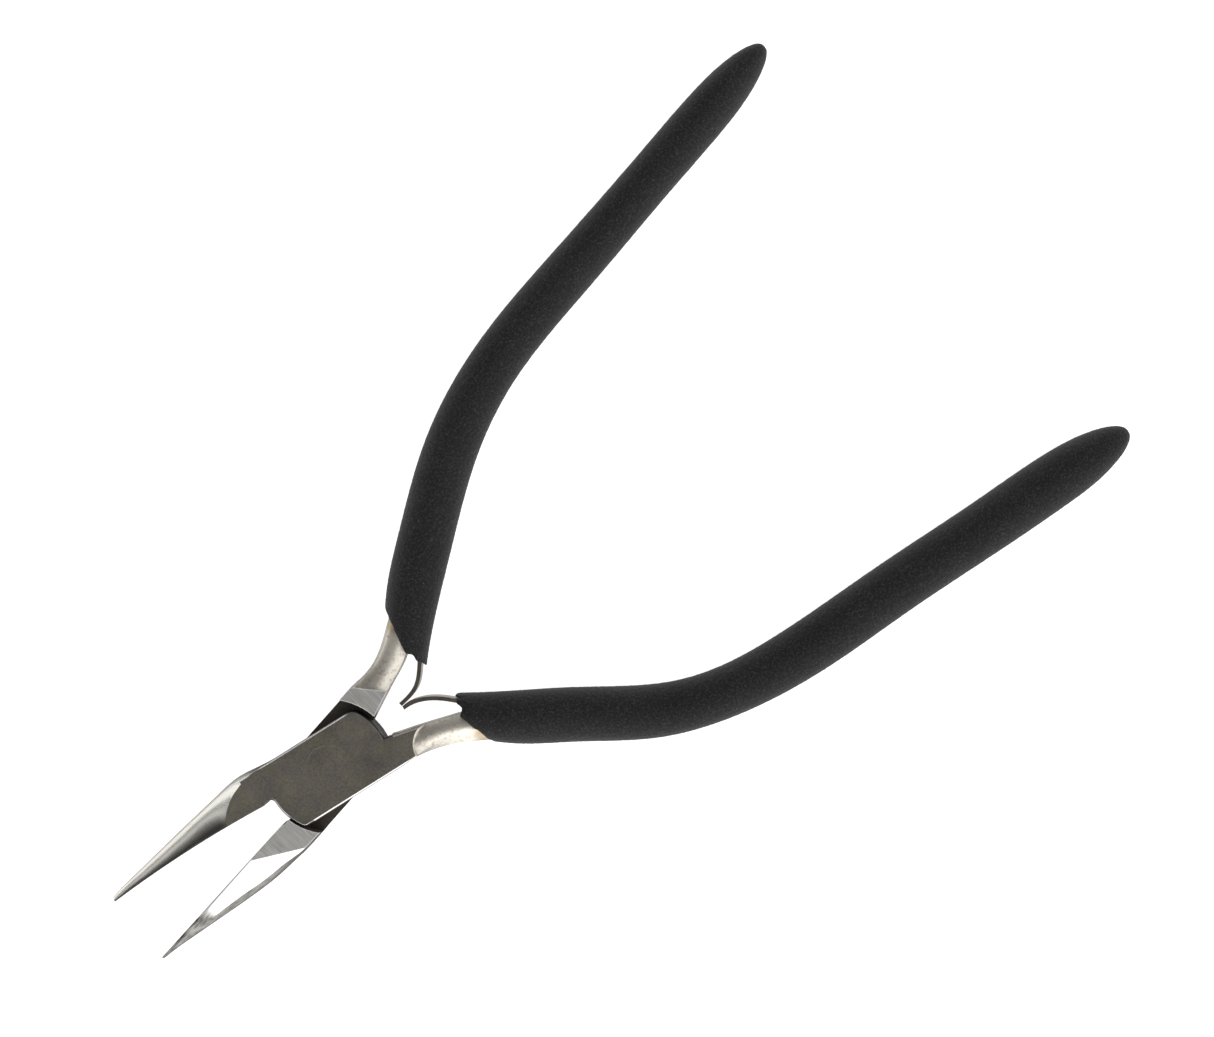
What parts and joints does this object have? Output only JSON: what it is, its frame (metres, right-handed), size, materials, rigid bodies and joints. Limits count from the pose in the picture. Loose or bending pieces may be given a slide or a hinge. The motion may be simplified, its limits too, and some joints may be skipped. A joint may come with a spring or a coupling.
{
  "type": "needle nose pliers",
  "caption": "Slim needle nose pliers with a flush lap joint, smooth half-round jaws, twin leaf springs that hold them open and soft dark sleeve grips.",
  "frame": {"origin": "on the pivot axis, at the flat back face of the joint", "axes": "+X toward the jaw tips, +Z along the pivot axis toward the front face, +Y to the side of the front lever's handle; stored with the springs relaxed and the jaws open"},
  "size_m": [0.1481, 0.0772, 0.0092],
  "materials": {
    "lever_steel": "satin ground joint, polished jaws, forged satin neck",
    "rivet_steel": "ground flush",
    "spring_steel": "dark tempered strip",
    "small_rivet_steel": "plain",
    "grip_vinyl": "fine grained matte"
  },
  "bodies": {
    "front_half": {"front_lever": "lever_steel", "pivot_rivet": "rivet_steel", "front_grip": "grip_vinyl", "front_spring_foot": "spring_steel", "front_spring_rivets": "small_rivet_steel"},
    "back_half": {"back_lever": "lever_steel", "back_grip": "grip_vinyl", "back_spring_foot": "spring_steel", "back_spring_rivets": "small_rivet_steel"},
    "front_leaf": {"front_spring_blade": "spring_steel"},
    "back_leaf": {"back_spring_blade": "spring_steel"}
  },
  "joints": [
    {"name": "jaw_pivot", "type": "hinge", "parent": "front_half", "child": "back_half", "pos_m": [0, 0, 0.0032], "axis": [0, 0, -1], "range_deg": [0, 16.4], "stiffness_Nm_per_rad": 1.5},
    {"name": "front_leaf_flex", "type": "hinge", "parent": "front_half", "child": "front_leaf", "pos_m": [-0.02246, 0.00755, 0.0032], "axis": [0, 0, 1], "range_deg": [0, 13.3]},
    {"name": "back_leaf_flex", "type": "hinge", "parent": "back_half", "child": "back_leaf", "pos_m": [-0.02249, -0.00719, 0.0032], "axis": [0, 0, -1], "range_deg": [0, 10.7]}
  ],
  "couplings": [
    {"joint": "front_leaf_flex", "follows": "jaw_pivot", "ratio": 0.803},
    {"joint": "back_leaf_flex", "follows": "jaw_pivot", "ratio": 0.643}
  ]
}
